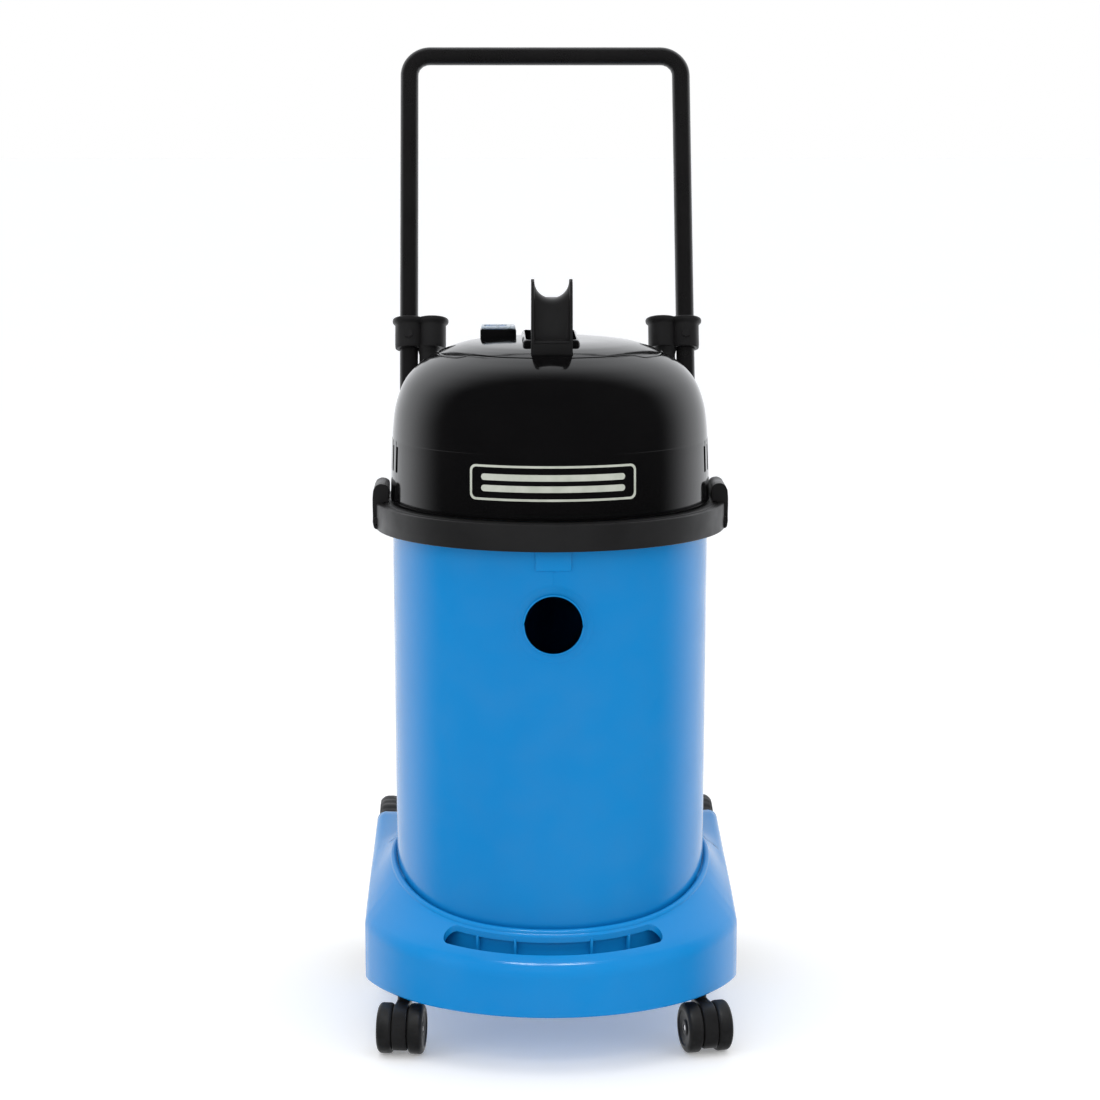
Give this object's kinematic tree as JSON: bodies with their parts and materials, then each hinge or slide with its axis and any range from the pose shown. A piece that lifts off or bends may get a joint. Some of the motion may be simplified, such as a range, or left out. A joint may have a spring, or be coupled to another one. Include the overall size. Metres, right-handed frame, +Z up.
{
  "type": "wet and dry shop vacuum",
  "caption": "Upright wet and dry shop vacuum: tall round drum with a front hose inlet, domed motor head held by side clips, wheeled base and tubular push handle.",
  "frame": {"origin": "on the floor, under the middle of the whole machine", "axes": "+Z up, front with the hose inlet at -Y, +X to the right seen from the front"},
  "size_m": [0.376, 0.486, 0.9859],
  "materials": {
    "blue_moulding": "glossy blue polypropylene",
    "head_moulding": "high gloss black ABS",
    "black_moulding": "satin black plastic",
    "coated_tube": "black powder coated steel tube",
    "rubber": "matt black rubber",
    "tyre": "matt black tyre rubber",
    "grey_moulding": "dark grey plastic",
    "steel": "zinc plated steel",
    "copper": "copper windings on a steel shaft",
    "carbon": "carbon brush",
    "foam": "open cell foam",
    "clear_silicone": "pale translucent silicone",
    "switch_blue": "blue rocker",
    "float_white": "white float"
  },
  "bodies": {
    "base": {"chassis": "blue_moulding", "drum": "blue_moulding", "drum_band": "black_moulding", "drum_bolt": "steel", "inlet_deflector": "black_moulding", "inlet_seal": "rubber", "clip_pin_left": "steel", "clip_pin_right": "steel", "handle_frame": "coated_tube", "tool_holder_left": "black_moulding", "tool_holder_right": "black_moulding", "frame_bolt_left": "steel", "frame_bolt_right": "steel", "rear_axle": "steel", "axle_cap_left": "black_moulding", "axle_cap_right": "black_moulding"},
    "head": {"head_skirt": "head_moulding", "head_dome": "head_moulding", "head_cap": "head_moulding", "head_seal": "rubber", "head_screw_left": "steel", "head_screw_right": "steel", "carry_handle": "black_moulding", "switch_housing": "black_moulding", "switch_cover": "clear_silicone", "cable_gland": "rubber", "motor_plate": "grey_moulding", "motor_cowl": "black_moulding", "motor_frame": "grey_moulding", "motor_gasket_lower": "rubber", "motor_gasket_upper": "rubber", "fan_housing": "steel", "field_core": "steel", "bearing_lower": "steel", "bearing_upper": "steel", "carbon_brush_left": "carbon", "carbon_brush_right": "carbon", "exhaust_foam": "foam", "float_cage": "grey_moulding"},
    "rotor": {"armature": "copper", "impeller": "steel", "cooling_fan": "grey_moulding"},
    "float": {"float_ball": "float_white"},
    "switch": {"switch_rocker": "switch_blue"},
    "left_clip": {"clip_left": "black_moulding"},
    "right_clip": {"clip_right": "black_moulding"},
    "left_rear_wheel": {"rear_wheel_rim_left": "grey_moulding", "rear_tyre_left": "tyre"},
    "right_rear_wheel": {"rear_wheel_rim_right": "grey_moulding", "rear_tyre_right": "tyre"},
    "left_castor": {"castor_fork_left": "black_moulding", "castor_stem_left": "steel", "castor_axle_left": "steel"},
    "right_castor": {"castor_fork_right": "black_moulding", "castor_stem_right": "steel", "castor_axle_right": "steel"},
    "left_castor_outer_wheel": {"castor_wheel_left_outer": "tyre"},
    "left_castor_inner_wheel": {"castor_wheel_left_inner": "tyre"},
    "right_castor_outer_wheel": {"castor_wheel_right_outer": "tyre"},
    "right_castor_inner_wheel": {"castor_wheel_right_inner": "tyre"}
  },
  "joints": [
    {"name": "head_lift", "type": "slide", "parent": "base", "child": "head", "axis": [0, 0, 1], "range_m": [0, 0.25]},
    {"name": "rotor_spin", "type": "hinge", "parent": "head", "child": "rotor", "pos_m": [0, -0.045, 0.6], "axis": [0, 0, 1], "continuous": true},
    {"name": "float_rise", "type": "slide", "parent": "head", "child": "float", "axis": [0, 0, 1], "range_m": [0, 0.058]},
    {"name": "switch_tilt", "type": "hinge", "parent": "head", "child": "switch", "pos_m": [-0.0545, -0.018, 0.7036], "axis": [0, 1, 0], "range_deg": [-7, 7]},
    {"name": "left_clip_hinge", "type": "hinge", "parent": "base", "child": "left_clip", "pos_m": [-0.1722, -0.045, 0.5148], "axis": [0, -1, 0], "range_deg": [0, 75]},
    {"name": "right_clip_hinge", "type": "hinge", "parent": "base", "child": "right_clip", "pos_m": [0.1722, -0.045, 0.5148], "axis": [0, 1, 0], "range_deg": [0, 75]},
    {"name": "left_rear_wheel_spin", "type": "hinge", "parent": "base", "child": "left_rear_wheel", "pos_m": [-0.169, 0.153, 0.09], "axis": [1, 0, 0], "continuous": true},
    {"name": "right_rear_wheel_spin", "type": "hinge", "parent": "base", "child": "right_rear_wheel", "pos_m": [0.169, 0.153, 0.09], "axis": [1, 0, 0], "continuous": true},
    {"name": "left_castor_swivel", "type": "hinge", "parent": "base", "child": "left_castor", "pos_m": [-0.147, -0.15, 0.05], "axis": [0, 0, 1], "continuous": true},
    {"name": "right_castor_swivel", "type": "hinge", "parent": "base", "child": "right_castor", "pos_m": [0.147, -0.15, 0.05], "axis": [0, 0, 1], "continuous": true},
    {"name": "left_castor_outer_spin", "type": "hinge", "parent": "left_castor", "child": "left_castor_outer_wheel", "pos_m": [-0.14944, -0.16985, 0.025], "axis": [0.9925, -0.1219, 0], "continuous": true},
    {"name": "left_castor_inner_spin", "type": "hinge", "parent": "left_castor", "child": "left_castor_inner_wheel", "pos_m": [-0.14944, -0.16985, 0.025], "axis": [0.9925, -0.1219, 0], "continuous": true},
    {"name": "right_castor_outer_spin", "type": "hinge", "parent": "right_castor", "child": "right_castor_outer_wheel", "pos_m": [0.1515, -0.16949, 0.025], "axis": [0.9744, 0.225, 0], "continuous": true},
    {"name": "right_castor_inner_spin", "type": "hinge", "parent": "right_castor", "child": "right_castor_inner_wheel", "pos_m": [0.1515, -0.16949, 0.025], "axis": [0.9744, 0.225, 0], "continuous": true}
  ]
}
